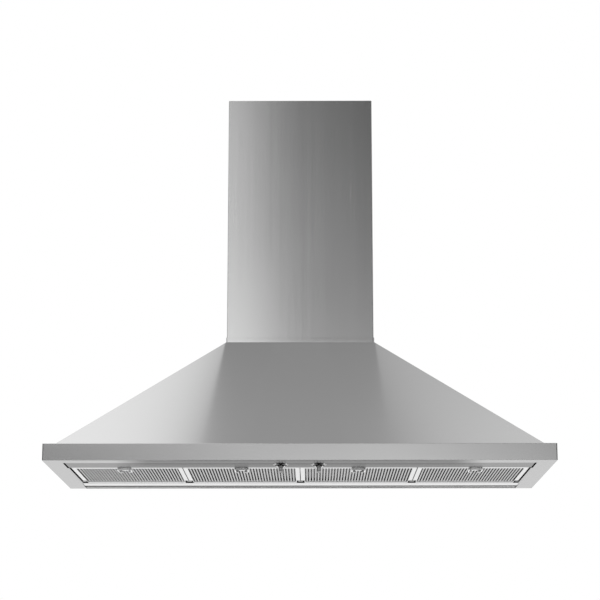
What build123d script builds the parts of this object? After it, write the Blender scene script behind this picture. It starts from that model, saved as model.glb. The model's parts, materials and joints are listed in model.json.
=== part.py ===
from build123d import *
import os
from math import cos, hypot, pi, sin

# Wall-mounted chimney range hood, in millimetres.
# X runs to the right seen from the front, the front faces -Y, and Z is up.
# The origin is on the wall plane, at the middle of the hood's underside edge.

# ---------------------------------------------------------------- driving sizes
sheet = 1.2               # stainless sheet of the canopy, lip and panels
touch = 0.3               # gap left at a seat
running_gap = 0.05        # radial clearance of a pin in its bore
press_gap = 0.02          # radial clearance of a hub on its shaft
hole_gap = 0.1            # radial clearance of a screw in its hole

hood_width = 1200.0       # lip, side to side
hood_depth = 500.0        # wall to lip front
lip_height = 40.0
lip_corner = 3.0          # outside radius of the lip's front corners
lip_edge = 0.8            # softened long edges of the lip
ledge = 22.0              # canopy stands this far in from the lip
ledge_return = 12.0       # ledge sheet carried on under the canopy's foot
flange = 43.0             # underside flange of the lip

canopy_rise = 288.0       # lip top to collar
canopy_fold = 2.0         # outside radius of the canopy's slanting folds
top_flange = 14.0         # turned in at the top, carries the chimney and blower

chimney_width = 365.0
chimney_depth = 280.0
chimney_height = 632.0    # lower chimney
chimney_sheet = 1.0
chimney_corner = 3.0
chimney_return = 20.0     # rear edges turned in
collar_height = 12.0
collar_sheet = 1.8

slide_gap = 0.3           # between the two chimneys
upper_drop = 5.0          # its top below the lower chimney's top when pushed down
upper_start = 17.0        # its foot above the canopy's top when pushed down
upper_return = 18.0
upper_back_gap = 6.8      # its rear edge stands off the wall
vent_count = 8
vent_length = 60.0
vent_height = 5.0
vent_pitch = 14.0
vent_top = 70.0           # first vent below the upper chimney's top

fascia_depth = 85.0       # control strip seen behind the front flange
fascia_lap = 33.0         # its front edge lies on the flange
fascia_end_gap = 4.0
upstand = 20.0            # rear edge of the fascia turned up

filter_count = 4
pitch_margin = 36.0       # the even pitch ends this far in from the lip's sides
filter_gap = 2.0          # between neighbours
filter_thick = 12.0
filter_lift = 0.3         # filter underside above the fascia's underside
filter_front_gap = 1.0
side_foot = 4.0           # side rail foot, flush with the lip flange
side_gap = 4.0            # dark gap beside the outer filters
rail_side = 10.5          # filter frame rails, seen from below
rail_front = 17.0
rail_rear = 14.0
notch_width = 9.0         # rear corners cut away for the pivots
notch_length = 41.0
pivot_back = 12.0         # pivot ahead of the filter's rear edge
pivot_radius = 2.0
pivot_length = 7.0
slat_pitch = 7.1
slat_width = 3.6
slat_deep = 2.0           # thickness of each baffle layer
slat_inset = 0.5          # lower layer above the frame's underside
slat_end = 5.0
upper_slat_width = 4.6
layer_gap = 5.0

bail_width = 35.0
bail_length = 44.0
bail_rod = 2.2            # radius
bail_front = 9.0          # crossbar's front behind the filter's front edge
bail_corner = 6.0
bail_pin = 8.0            # length turned in at each end
bail_pin_bend = 3.0
lug_width = 4.0           # the two lugs that the bail's ends turn in
lug_outside = 3.3         # lug's outer side, in from the bail's leg
lug_depth = 9.0
lug_edge = 1.2            # stock below the bail's ends
lug_plate = 1.5

divider_width = 12.0
divider_sheet = 1.5
divider_gap = 1.5         # above the filters
divider_web = 9.0
ear_length = 12.0
ear_lift = 2.0            # ear's foot above the filter's underside
side_leg = 24.0           # height of the side rail's leg

rear_rail_depth = 59.0
rear_rail_gap = 3.0       # behind the filters
rear_rail_foot_gap = 8.0  # ahead of the back panel's foot
rear_rail_height = 24.5
rear_rail_edge = 6.0
rear_rail_lap = 13.0      # its ends lie over the side flanges
foot_depth = 30.0         # back panel's foot, turned forwards
foot_lift = 1.7

hook_spacing = 300.0
hook_radius = 5.0
hook_drop = 58.0          # below the canopy's top
lower_hole_spacing = 900.0
lower_hole_radius = 3.0
lower_hole_height = 60.0

knob_spacing = 90.0
knob_from_front = 76.0
bezel_outer = 18.3
bezel_inner = 15.2
bezel_height = 2.0
bezel_slope = 1.5         # its outer face leans in by this much
knob_radius = 14.7
knob_neck = 12.8          # radius where the dome starts
knob_skirt = 3.6
knob_dome = 7.0
knob_dome_end = 5.0       # radius where the dome ends
dome_shoulder = pi / 5    # angle of the dome's fullest point, from its neck
knob_lift = 0.5           # air gap under the fascia
knob_reach = 18.6         # fascia to the end of the grip
grip_width = 10.0
grip_length = 25.0
grip_band = 2.2           # end band of the grip
grip_band_out = 0.6       # it stands proud by this much
knob_recess = 9.0         # radius, room for the nut
knob_recess_depth = 2.2
knob_bore_depth = 10.0
spindle_radius = 3.0
bushing_radius = 4.5
nut_across = 13.0
nut_height = 1.0
nut_sides = 6
switch_size = 28.0
switch_height = 20.0
switch_stub = 4.0         # spindle above the switch

duct_radius = 75.0        # outside of the outlet spigot
spigot_wall = 1.2
spigot_height = 90.0      # the open flaps stay inside it
spigot_plate = 2.0
spigot_lap = 8.0          # plate beyond the blower's neck
stop_width = 3.0          # rim that the damper flaps rest on
stop_height = 2.0
stop_break = 9.0          # rim left out this far beside the flap axes
damper_height = 20.0      # flap axes above the blower's neck
damper_axis_x = 3.5
damper_pin = 1.5          # radius
damper_thick = 1.0
damper_rim_gap = 1.2
damper_seam = 0.8         # half the gap between the two flaps

blower_depth = 150.0      # housing along Y
blower_wall = 1.5
blower_nose = 6.0         # flat of the scroll's cut-off
blower_start = 95.0       # scroll radius at the cut-off
blower_end = 155.0        # scroll radius at the outlet
neck_rise = 52.0          # outlet above the canopy's top
scroll_gap = 4.8          # scroll to the hangers above it
scroll_steps = 9
scroll_turn = 1.5 * pi    # from the neck's nose round to its back wall
inlet_radius = 74.0
inlet_ring_width = 12.0
inlet_ring_thick = 3.0
inlet_throat = 1.5
inlet_throat_depth = 6.0
impeller_radius = 86.0
impeller_inner = 70.0
impeller_length = 130.0
impeller_sheet = 1.5
blade_count = 24
blade_thick = 1.2
blade_turn = 35.0         # degrees off the radius
hub_radius = 12.0
hub_length = 16.0
motor_radius = 45.0
motor_length = 100.0
motor_gap = 4.0           # motor to the impeller's disc
motor_edge = 4.0
motor_boss_radius = 14.0
motor_boss = 6.0
shaft_radius = 5.0
shaft_tail = 8.0          # shaft ends this far inside the motor's rear
spider_ring = 7.0
spider_depth = 14.0
spider_arm_width = 14.0
spider_arm_thick = 3.0
spider_arms = 3
hanger_width = 40.0
hanger_sheet = 2.0
hanger_tab = 22.0
hanger_end_gap = 2.0
hanger_screw_spread = 12.0
hanger_screw_drop = 8.0   # tab screws below the tab's top
flange_screw_in = 8.0     # flange screws from the canopy's head

box_gap = 25.5            # beside the blower's neck
box_width = 120.0
box_depth = 48.0
box_drop = 78.0           # below the canopy's top
box_height = 110.0
box_wall = 2.0
lid_thick = 2.0
board_width = 66.0
board_thick = 1.6
board_post = 8.0
board_margin = 6.0
relay_size = (16.0, 14.0, 22.0)
capacitor_radius = 16.0
capacitor_length = 60.0
gland_in = 30.0           # from the box's left side
gland_radius = 9.0
gland_bore = 3.6
gland_height = 18.0
gland_flange = 12.0
gland_flange_height = 4.0

wall_bracket_height = 30.0
wall_bracket_top = 40.0   # below the lower chimney's top
wall_bracket_side = 6.5   # ends short of the chimney's sides
wall_pad_side = 7.5       # pad against the wall, inside the chimney's returns
bracket_hole_spacing = 200.0
bracket_hole_radius = 3.0
upper_bracket_height = 30.0
upper_bracket_side = 4.5
screw_radius = 2.0
screw_head_radius = 3.8
screw_head = 2.0
screw_length = 8.0

# ---------------------------------------------------------------- places worked out
past = 1.0                # cuts run on past a face by this much
half_width = hood_width / 2
open_half = half_width - flange
canopy_foot = lip_height
canopy_top = lip_height + canopy_rise
foot_half = half_width - ledge
foot_front = hood_depth - ledge
head_half = chimney_width / 2 + collar_sheet
head_front = chimney_depth + collar_sheet
chimney_half = chimney_width / 2
chimney_top = canopy_top + chimney_height
upper_foot = canopy_top + upper_start
upper_top = chimney_top - upper_drop
hook_height = canopy_top - hook_drop

fascia_under = sheet
fascia_front = -(hood_depth - flange) - fascia_lap
fascia_rear = -(hood_depth - flange) + fascia_depth
knob_y = -(hood_depth - knob_from_front)
knob_top = fascia_under - knob_lift
knob_end = fascia_under - knob_reach
switch_bottom = fascia_under + sheet

rear_rail_back = -foot_depth - rear_rail_foot_gap
rear_rail_front = rear_rail_back - rear_rail_depth
rear_rail_under = sheet + touch
filter_front = fascia_rear + filter_front_gap
filter_rear = rear_rail_front - rear_rail_gap
filter_under = fascia_under + filter_lift
filter_top = filter_under + filter_thick
pivot_y = filter_rear - pivot_back
pivot_z = filter_under + filter_thick / 2
side_limit = open_half - side_foot - side_gap

divider_under = filter_top + divider_gap
ear_under = filter_under + ear_lift

bail_z = filter_under - bail_rod - touch
bail_bar_y = filter_front + bail_front + bail_rod
bail_pivot_y = bail_bar_y + bail_length - 2 * bail_rod
bail_leg_x = bail_width / 2 - bail_rod

hanger_top = canopy_top - sheet
blower_axis_x = -(blower_end + blower_nose) / 2
blower_axis_z = hanger_top - hanger_sheet - scroll_gap - blower_start
blower_top = canopy_top + neck_rise
neck_half = (blower_end - blower_nose) / 2
blower_y = -chimney_depth / 2
blower_front = blower_y - blower_depth / 2
blower_rear = blower_y + blower_depth / 2
damper_z = blower_top + damper_height

box_left = neck_half + box_gap
box_right = box_left + box_width
box_top = canopy_top - box_drop
box_bottom = box_top - box_height
gland_x = box_left + gland_in
box_back = -sheet
box_front = box_back - box_depth

# Each filter: its left and right edges, and the middle of its handle.
# Handles stay on the even pitch; the two outer filters are cut short by the side rails.
filter_pitch = (hood_width - 2 * pitch_margin) / filter_count
seams = [(i - filter_count / 2) * filter_pitch for i in range(1, filter_count)]
handles = [(i - (filter_count - 1) / 2) * filter_pitch for i in range(filter_count)]
lefts = [-side_limit] + [seam + filter_gap / 2 for seam in seams]
rights = [seam - filter_gap / 2 for seam in seams] + [side_limit]

os.makedirs("parts", exist_ok=True)


# ---------------------------------------------------------------- helpers
def block(x, y, z):
    """A box between two values on each axis."""
    size = [hi - lo for lo, hi in (x, y, z)]
    middle = [(hi + lo) / 2 for lo, hi in (x, y, z)]
    return Pos(*middle) * Box(*size)


def rod_x(x, y, z, radius):
    """A round bar along X, between the two values of x."""
    return Pos((x[0] + x[1]) / 2, y, z) * Rot(0, 90, 0) * Cylinder(radius, x[1] - x[0])


def rod_y(x, y, z, radius):
    """A round bar along Y, between the two values of y."""
    return Pos(x, (y[0] + y[1]) / 2, z) * Rot(90, 0, 0) * Cylinder(radius, y[1] - y[0])


def rod_z(x, y, z, radius):
    """A round bar along Z, between the two values of z."""
    return Pos(x, y, (z[0] + z[1]) / 2) * Cylinder(radius, z[1] - z[0])


def wall_plane(y):
    """A drawing plane parallel to the wall, with X to the right and Z up; it extrudes forwards."""
    return Plane(origin=(0, y, 0), x_dir=(1, 0, 0), z_dir=(0, -1, 0))


def round_upright(shape, radius):
    """Rounds the two upright edges nearest the front."""
    return fillet(shape.edges().filter_by(Axis.Z).group_by(Axis.Y)[0], radius)


def save(name, shape):
    """Writes one node."""
    export_step(shape, f"parts/{name}.step")


# ---------------------------------------------------------------- body of the hood
def lip_frame():
    """Front and two sides of the lip, a C section with its ledge on top and its flange underneath."""
    body = block((-half_width, half_width), (-hood_depth, -sheet), (0, lip_height))
    body = round_upright(body, lip_corner)
    rims = body.faces().sort_by(Axis.Z)
    long_edges = [e for rim in (rims[0], rims[-1]) for e in rim.edges() if e.center().Y < -2 * sheet]
    body = fillet(long_edges, lip_edge)
    hollow_half = half_width - sheet
    body -= block((-hollow_half, hollow_half), (-hood_depth + sheet, past), (sheet, lip_height - sheet))
    body -= block((-open_half, open_half), (-hood_depth + flange, past), (-past, 2 * sheet))
    ledge_in = ledge + ledge_return
    body -= block((-half_width + ledge_in, half_width - ledge_in), (-hood_depth + ledge_in, past),
                  (lip_height - 2 * sheet, lip_height + past))
    return body


def canopy_taper(side_in, front_in, back):
    """The solid between the canopy's foot and head, square at the back."""
    foot_depth_here = foot_front - front_in + back
    head_depth_here = head_front - front_in + back
    foot = Rectangle(2 * (foot_half - side_in), foot_depth_here)
    foot = Pos(0, back - foot_depth_here / 2, canopy_foot) * foot
    head = Rectangle(2 * (head_half - side_in), head_depth_here)
    head = Pos(0, back - head_depth_here / 2, canopy_top) * head
    return loft([foot, head], ruled=True)


def canopy_shell():
    """Three sloping walls, and a flange turned in at the top."""
    outer = canopy_taper(0, 0, -sheet)
    folds = [e for e in outer.edges() if all(abs(v) > 1 for v in tuple(e @ 1 - e @ 0))]
    outer = fillet(folds, canopy_fold)
    side_in = sheet * hypot(1, (foot_half - head_half) / canopy_rise)
    front_in = sheet * hypot(1, (foot_front - head_front) / canopy_rise)
    ring = outer & block((-half_width, half_width), (-hood_depth, 0), (canopy_top - sheet, canopy_top))
    ring -= block((-head_half + top_flange, head_half - top_flange), (-head_front + top_flange, past),
                  (canopy_foot, canopy_top + past))
    shell = outer - canopy_taper(side_in, front_in, past) + ring
    for x, y in hanger_screw_places():
        shell -= rod_z(x, y, (canopy_top - 2 * sheet, canopy_top + past), screw_radius + hole_gap)
    return shell


def back_panel():
    """The sheet against the wall, with its foot turned forwards under the rear rail."""
    right = [(half_width, 0), (half_width, lip_height), (foot_half, lip_height), (head_half, canopy_top)]
    left = [(-x, z) for x, z in reversed(right)]
    outline = wall_plane(0) * make_face(Polyline(*right, *left, close=True))
    panel = extrude(outline, sheet)
    panel += block((-open_half + touch, open_half - touch), (-foot_depth, 0), (foot_lift, foot_lift + sheet))
    for spacing, height, radius in ((hook_spacing, hook_height, hook_radius),
                                    (lower_hole_spacing, lower_hole_height, lower_hole_radius)):
        for x in (-spacing / 2, spacing / 2):
            panel -= rod_y(x, (-2 * sheet, past), height, radius)
    return panel


def chimney_tube(half, front, back, z, wall, corner, turned):
    """A U of sheet, open at the back except for its two turned-in edges."""
    tube = round_upright(block((-half, half), (front, back), z), corner)
    hollow = block((-half + wall, half - wall), (front + wall, back - wall), (z[0] - past, z[1] + past))
    tube -= round_upright(hollow, corner - wall)
    tube -= block((-half + turned, half - turned), (back - 2 * wall, back + past), (z[0] - past, z[1] + past))
    return tube


def lower_chimney():
    return chimney_tube(chimney_half, -chimney_depth, 0, (canopy_top, chimney_top),
                        chimney_sheet, chimney_corner, chimney_return)


def upper_chimney():
    """Slides up out of the lower chimney; its vents are near its top on both sides."""
    half = chimney_half - chimney_sheet - slide_gap
    front = -chimney_depth + chimney_sheet + slide_gap
    tube = chimney_tube(half, front, -upper_back_gap, (upper_foot, upper_top), chimney_sheet,
                        chimney_corner - chimney_sheet, upper_return)
    for i in range(vent_count):
        z = upper_top - vent_top - i * vent_pitch
        tube -= block((-half - past, half + past), (blower_y - vent_length / 2, blower_y + vent_length / 2),
                      (z - vent_height, z))
    return tube


def collar_trim():
    """A flat band around the chimney's foot."""
    z = (canopy_top, canopy_top + collar_height)
    band = round_upright(block((-head_half, head_half), (-head_front, 0), z), chimney_corner + collar_sheet)
    hole = block((-chimney_half, chimney_half), (-chimney_depth, past), (z[0] - past, z[1] + past))
    return band - round_upright(hole, chimney_corner)


def wall_bracket():
    """Holds the lower chimney's rear edges to the wall."""
    top = chimney_top - wall_bracket_top
    z = (top - wall_bracket_height, top)
    reach = chimney_half - wall_bracket_side
    pad = chimney_half - chimney_return - wall_pad_side
    bar = block((-reach, reach), (-chimney_sheet - sheet, -chimney_sheet), z)
    bar += block((-pad, pad), (-chimney_sheet - sheet, 0), z)
    hole_z = top - wall_bracket_height / 2
    for x in (-bracket_hole_spacing / 2, bracket_hole_spacing / 2):
        bar -= rod_y(x, (-chimney_sheet - 2 * sheet, past), hole_z, bracket_hole_radius)
    return bar


def upper_bracket():
    """Ties the upper chimney's rear edges together and takes its wall screws."""
    z = (upper_top - upper_bracket_height, upper_top)
    reach = chimney_half - upper_bracket_side
    bar = block((-reach, reach), (-upper_back_gap, -upper_back_gap + sheet), z)
    hole_z = upper_top - upper_bracket_height / 2
    for x in (-bracket_hole_spacing / 2, bracket_hole_spacing / 2):
        bar -= rod_y(x, (-upper_back_gap - past, 0), hole_z, bracket_hole_radius)
    return bar


# ---------------------------------------------------------------- underside
def control_fascia():
    """The strip that carries the knobs, with its rear edge turned up."""
    half = open_half - fascia_end_gap
    strip = block((-half, half), (fascia_front, fascia_rear), (fascia_under, fascia_under + sheet))
    strip += block((-half, half), (fascia_rear - sheet, fascia_rear), (fascia_under, fascia_under + upstand))
    for x in (-knob_spacing / 2, knob_spacing / 2):
        strip -= rod_z(x, knob_y, (0, 3 * sheet), bushing_radius + hole_gap)
    return strip


def pivot_ear(x):
    """The block that hangs into a filter's notch and holds its pivot pins."""
    ear = block(x, (pivot_y - ear_length / 2, pivot_y + ear_length / 2), (ear_under, divider_under))
    return ear - rod_x((x[0] - past, x[1] + past), pivot_y, pivot_z, pivot_radius + running_gap)


def filter_divider(x):
    """The bar above the seam between two filters: an upside-down T with its ear."""
    y = (fascia_rear, rear_rail_front)
    half = divider_width / 2
    bar = block((x - half, x + half), y, (divider_under, divider_under + divider_sheet))
    web = divider_sheet / 2
    bar += block((x - web, x + web), y, (divider_under, divider_under + divider_sheet + divider_web))
    return bar + pivot_ear((x - half, x + half))


def side_rail(side):
    """The angle beside an outer filter: its foot is flush with the lip's flange."""
    y = (fascia_rear, rear_rail_front)
    outer = open_half
    rail = block((outer - side_foot, outer), y, (0, sheet))
    rail += block((outer - sheet, outer), y, (0, side_leg))
    ear_inner = side_limit - notch_width / 2 - touch
    rail += pivot_ear((ear_inner, outer))
    return rail if side > 0 else mirror(rail, about=Plane.YZ)


def rear_rail():
    """A closed box behind the filters, with its lower edges rolled."""
    half = open_half + rear_rail_lap
    y = (rear_rail_front, rear_rail_back)
    z = (rear_rail_under, rear_rail_under + rear_rail_height)
    rail = block((-half, half), y, z)
    rail = fillet(rail.edges().filter_by(Axis.X).group_by(Axis.Z)[0], rear_rail_edge)
    inner = block((-half - past, half + past), (y[0] + sheet, y[1] - sheet), (z[0] + sheet, z[1] - sheet))
    inner = fillet(inner.edges().filter_by(Axis.X).group_by(Axis.Z)[0], rear_rail_edge - sheet)
    return rail - inner


def filter_frame(left, right):
    """A ring of four rails, its rear corners notched, with a pivot pin in each notch."""
    z = (filter_under, filter_top)
    ring = block((left, right), (filter_front, filter_rear), z)
    ring -= block((left + rail_side, right - rail_side), (filter_front + rail_front, filter_rear - rail_rear),
                  (z[0] - past, z[1] + past))
    notch_y = (filter_rear - notch_length, filter_rear + past)
    ring -= block((left - past, left + notch_width), notch_y, (z[0] - past, z[1] + past))
    ring -= block((right - notch_width, right + past), notch_y, (z[0] - past, z[1] + past))
    left_wall = left + notch_width
    right_wall = right - notch_width
    ring += rod_x((left_wall - pivot_length, left_wall + past), pivot_y, pivot_z, pivot_radius)
    ring += rod_x((right_wall - past, right_wall + pivot_length), pivot_y, pivot_z, pivot_radius)
    return ring


def slotted_layer(x, y, bottom, bar):
    """A baffle layer: a plate with long slots, which leave bars of the given width."""
    layer = block(x, y, (bottom, bottom + slat_deep))
    count = int((x[1] - x[0]) / slat_pitch)
    first = (x[0] + x[1]) / 2 - (count - 1) * slat_pitch / 2
    for i in range(count):
        middle = first + i * slat_pitch
        half = (slat_pitch - bar) / 2
        layer -= block((middle - half, middle + half), (y[0] + slat_end, y[1] - slat_end),
                       (bottom - past, bottom + slat_deep + past))
    return layer


def baffle_pack(left, right, handle):
    """Two layers of baffles that fill the frame, and the clip that the handle turns in."""
    x = (left + rail_side, right - rail_side)
    y = (filter_front + rail_front, filter_rear - rail_rear)
    lower = slotted_layer(x, y, filter_under + slat_inset, slat_width)
    upper = slotted_layer(x, y, filter_under + slat_inset + slat_deep + layer_gap, upper_slat_width)
    posts = [block((px, px + slat_end), (py, py + slat_end),
                   (filter_under + slat_inset + slat_deep, filter_under + slat_inset + slat_deep + layer_gap))
             for px in (x[0], x[1] - slat_end) for py in (y[0], y[1] - slat_end)]
    far = bail_leg_x - lug_outside
    near = far - lug_width
    lug_y = (bail_pivot_y - lug_depth / 2, bail_pivot_y + lug_depth / 2)
    lug_z = (bail_z - bail_rod - lug_edge, filter_under + slat_inset + lug_plate)
    clip = block((handle - far, handle + far), lug_y, (filter_under + slat_inset, lug_z[1]))
    clip += block((handle - far, handle - near), lug_y, lug_z)
    clip += block((handle + near, handle + far), lug_y, lug_z)
    clip -= rod_x((handle - far - past, handle + far + past), bail_pivot_y, bail_z, bail_rod + running_gap)
    pack = lower + upper
    for post in posts:
        pack += post
    return pack + clip


def filter_handle(handle):
    """A U of round bar, folded up flat under the filter, its ends turned in."""
    bar_y, end_y = bail_bar_y, bail_pivot_y
    inner = bail_leg_x - bail_pin
    path = FilletPolyline((handle - inner, end_y, bail_z), (handle - bail_leg_x, end_y, bail_z),
                          (handle - bail_leg_x, bar_y, bail_z), (handle + bail_leg_x, bar_y, bail_z),
                          (handle + bail_leg_x, end_y, bail_z), (handle + inner, end_y, bail_z),
                          radius=[bail_pin_bend, bail_corner, bail_corner, bail_pin_bend])
    start = Plane(origin=path @ 0, z_dir=path % 0)
    return sweep(start * Circle(bail_rod), path=path)


# ---------------------------------------------------------------- knobs and switches
def knob(x):
    """A domed knob with a straight grip across it."""
    arc_top = knob_top - knob_skirt
    arc_end = arc_top - knob_dome
    middle = (knob_neck * cos(dome_shoulder), arc_top - knob_dome * sin(dome_shoulder))
    outline = make_face([
        Polyline((0, arc_end), (0, knob_top), (knob_radius, knob_top), (knob_neck, arc_top)),
        ThreePointArc((knob_neck, arc_top), middle, (knob_dome_end, arc_end)),
        Line((knob_dome_end, arc_end), (0, arc_end))])
    body = revolve(Plane.XZ * outline, Axis.Z)
    grip_half = grip_width / 2
    grip = block((-grip_half, grip_half), (-grip_length / 2, grip_length / 2), (knob_end, arc_top))
    out = grip_band_out
    grip += block((-grip_half - out, grip_half + out), (-grip_length / 2 - out, grip_length / 2 + out),
                  (knob_end, knob_end + grip_band))
    body += grip & rod_z(0, 0, (knob_end, knob_top), knob_radius)
    body -= rod_z(0, 0, (knob_top - knob_recess_depth, knob_top + past), knob_recess)
    body -= rod_z(0, 0, (knob_top - knob_bore_depth, knob_top), spindle_radius + press_gap)
    return Pos(x, knob_y, 0) * body


def knob_bezel(x):
    """The ring around a knob, its outer face leaning in."""
    low = fascia_under - bezel_height
    lean = bezel_outer - bezel_slope
    outline = make_face(Polyline((bezel_inner, low), (lean, low), (bezel_outer, fascia_under),
                                 (bezel_inner, fascia_under), close=True))
    return Pos(x, knob_y, 0) * revolve(Plane.XZ * outline, Axis.Z)


def knob_spindle(x):
    return rod_z(x, knob_y, (knob_top - knob_bore_depth, switch_bottom + switch_height + switch_stub),
                 spindle_radius)


def rotary_switch(x):
    """The switch on top of the fascia, with its bushing down through the fascia."""
    half = switch_size / 2
    body = block((x - half, x + half), (knob_y - half, knob_y + half),
                 (switch_bottom, switch_bottom + switch_height))
    body += rod_z(x, knob_y, (fascia_under - nut_height, switch_bottom), bushing_radius)
    return body - rod_z(x, knob_y, (0, switch_bottom + switch_height + past), spindle_radius + running_gap)


def switch_nuts():
    """A hexagon nut under the fascia for each switch."""
    nuts = []
    for x in (-knob_spacing / 2, knob_spacing / 2):
        hexagon = RegularPolygon(nut_across / 2, nut_sides, major_radius=False)
        nut = extrude(Pos(x, knob_y, fascia_under - nut_height) * hexagon, nut_height)
        nuts.append(nut - rod_z(x, knob_y, (-past, fascia_under + past), bushing_radius + press_gap))
    return Compound(children=nuts)


# ---------------------------------------------------------------- blower
def scroll_profile(inset, top):
    """The blower's spiral with its neck straight up, drawn in from the outside by inset."""
    def place(step):
        angle = pi / 2 + scroll_turn * step / scroll_steps
        radius = blower_start + (blower_end - blower_start) * step / scroll_steps - inset
        return (blower_axis_x + radius * cos(angle), blower_axis_z + radius * sin(angle))
    spiral = [place(step) for step in range(scroll_steps + 1)]
    neck_left = blower_axis_x + blower_nose + inset
    neck_right = blower_axis_x + blower_end - inset
    return make_face([
        Spline(*spiral),
        Polyline(spiral[-1], (neck_right, top), (neck_left, top), (neck_left, spiral[0][1]), spiral[0])])


def blower_housing():
    """The scroll: a hollow spiral with an inlet in each face and its outlet on top."""
    housing = extrude(wall_plane(blower_rear) * scroll_profile(0, blower_top), blower_depth)
    housing -= extrude(wall_plane(blower_rear - blower_wall) * scroll_profile(blower_wall, blower_top + past),
                       blower_depth - 2 * blower_wall)
    housing -= rod_y(blower_axis_x, (blower_front - past, blower_rear + past), blower_axis_z, inlet_radius)
    for x, y, z in tab_screw_places():
        housing -= rod_x((x - screw_length, x + screw_length), y, z, screw_radius + hole_gap)
    return housing


def inlet_ring(face, outward):
    """A ring on an inlet's face with a short throat into it; outward is -1 at the front, 1 at the rear."""
    span = sorted((face, face + outward * inlet_ring_thick))
    throat = sorted((face - outward * inlet_throat_depth, face + outward * inlet_ring_thick))
    throat_radius = inlet_radius - touch
    ring = rod_y(blower_axis_x, span, blower_axis_z, inlet_radius + inlet_ring_width)
    ring += rod_y(blower_axis_x, throat, blower_axis_z, throat_radius)
    return ring - rod_y(blower_axis_x, (throat[0] - past, throat[1] + past), blower_axis_z,
                        throat_radius - inlet_throat)


def impeller():
    """A double-width squirrel cage: middle disc, hub, two end rings and forward blades."""
    ends = (blower_y - impeller_length / 2, blower_y + impeller_length / 2)
    half_disc = impeller_sheet / 2
    wheel = rod_y(0, (-half_disc, half_disc), 0, impeller_radius)
    wheel += rod_y(0, (-half_disc - hub_length, 0), 0, hub_radius)
    half = impeller_length / 2
    for y in ((-half, -half + impeller_sheet), (half - impeller_sheet, half)):
        wheel += rod_y(0, y, 0, impeller_radius) - rod_y(0, (y[0] - past, y[1] + past), 0, impeller_inner)
    middle = (impeller_radius + impeller_inner) / 2
    blade_width = impeller_radius - impeller_inner - 2 * blade_thick
    blade = Box(blade_width, impeller_length - blade_thick, blade_thick)
    blade = Pos(middle, 0, 0) * Rot(0, blade_turn, 0) * blade
    wheel += [Rot(0, i * 360 / blade_count, 0) * blade for i in range(blade_count)]
    wheel -= rod_y(0, (-half, half), 0, shaft_radius + press_gap)
    return Pos(blower_axis_x, sum(ends) / 2, blower_axis_z) * wheel


def motor_span():
    """The motor's front and rear faces."""
    front = blower_y + impeller_sheet / 2 + motor_gap
    return front, front + motor_length


def motor_shaft():
    front = blower_y - impeller_sheet / 2 - hub_length
    return rod_y(blower_axis_x, (front, motor_span()[1] - shaft_tail), blower_axis_z, shaft_radius)


def motor():
    """The motor's can, half inside the impeller."""
    front, rear = motor_span()
    can = rod_y(blower_axis_x, (front, rear), blower_axis_z, motor_radius)
    can = fillet(can.edges().filter_by(GeomType.CIRCLE), motor_edge)
    can += rod_y(blower_axis_x, (rear - past, rear + motor_boss), blower_axis_z, motor_boss_radius)
    return can - rod_y(blower_axis_x, (front - past, rear - shaft_tail + past), blower_axis_z,
                       shaft_radius + running_gap)


def motor_spider():
    """A ring around the motor, with arms out to the rear inlet ring."""
    face = blower_rear + inlet_ring_thick
    ring_outer = motor_radius + spider_ring
    spider = rod_y(0, (face, face + spider_depth), 0, ring_outer)
    reach = inlet_radius + inlet_ring_width / 2
    arm = block((motor_radius + spider_ring / 2, reach), (face, face + spider_arm_thick),
                (-spider_arm_width / 2, spider_arm_width / 2))
    spider += [Rot(0, 90 + i * 360 / spider_arms, 0) * arm for i in range(spider_arms)]
    spider -= rod_y(0, (face - past, face + spider_depth + past), 0, motor_radius + running_gap)
    return Pos(blower_axis_x, 0, blower_axis_z) * spider


def tab_screw_places():
    """Screws through the hanger tabs into the blower's neck."""
    z = hanger_top + hanger_tab - hanger_screw_drop
    return [(x, blower_y + dy, z) for x in (-neck_half, neck_half)
            for dy in (-hanger_screw_spread, hanger_screw_spread)]


def hanger_screw_places():
    """Screws up through the hangers into the canopy's top flange."""
    x = head_half - flange_screw_in
    offsets = (-hanger_screw_spread, hanger_screw_spread)
    return [(side * x, blower_y + offset) for side in (-1, 1) for offset in offsets]


def blower_hanger(side):
    """The angle between the blower's neck and the canopy's top flange."""
    y = (blower_y - hanger_width / 2, blower_y + hanger_width / 2)
    arm = block((neck_half, head_half - hanger_end_gap), y, (hanger_top - hanger_sheet, hanger_top))
    tab_z = (hanger_top - hanger_sheet, hanger_top + hanger_tab)
    arm += block((neck_half, neck_half + hanger_sheet), y, tab_z)
    if side < 0:
        arm = mirror(arm, about=Plane.YZ)
    for x, sy in hanger_screw_places():
        arm -= rod_z(x, sy, (hanger_top - 2 * hanger_sheet, hanger_top + past), screw_radius + hole_gap)
    for x, sy, z in tab_screw_places():
        arm -= rod_x((x - 2 * hanger_sheet, x + 2 * hanger_sheet), sy, z, screw_radius + hole_gap)
    return arm


def blower_screws():
    """Four screws up into the canopy's flange and four into the blower's neck."""
    screws = []
    under = hanger_top - hanger_sheet
    for x, y in hanger_screw_places():
        screws.append(rod_z(x, y, (under, under + screw_length), screw_radius)
                      + rod_z(x, y, (under - screw_head, under), screw_head_radius))
    for x, y, z in tab_screw_places():
        side = 1 if x > 0 else -1
        seat = x + side * hanger_sheet
        shank = sorted((seat, seat - side * screw_length))
        head = sorted((seat, seat + side * screw_head))
        screws.append(rod_x(shank, y, z, screw_radius) + rod_x(head, y, z, screw_head_radius))
    return Compound(children=screws)


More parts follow.
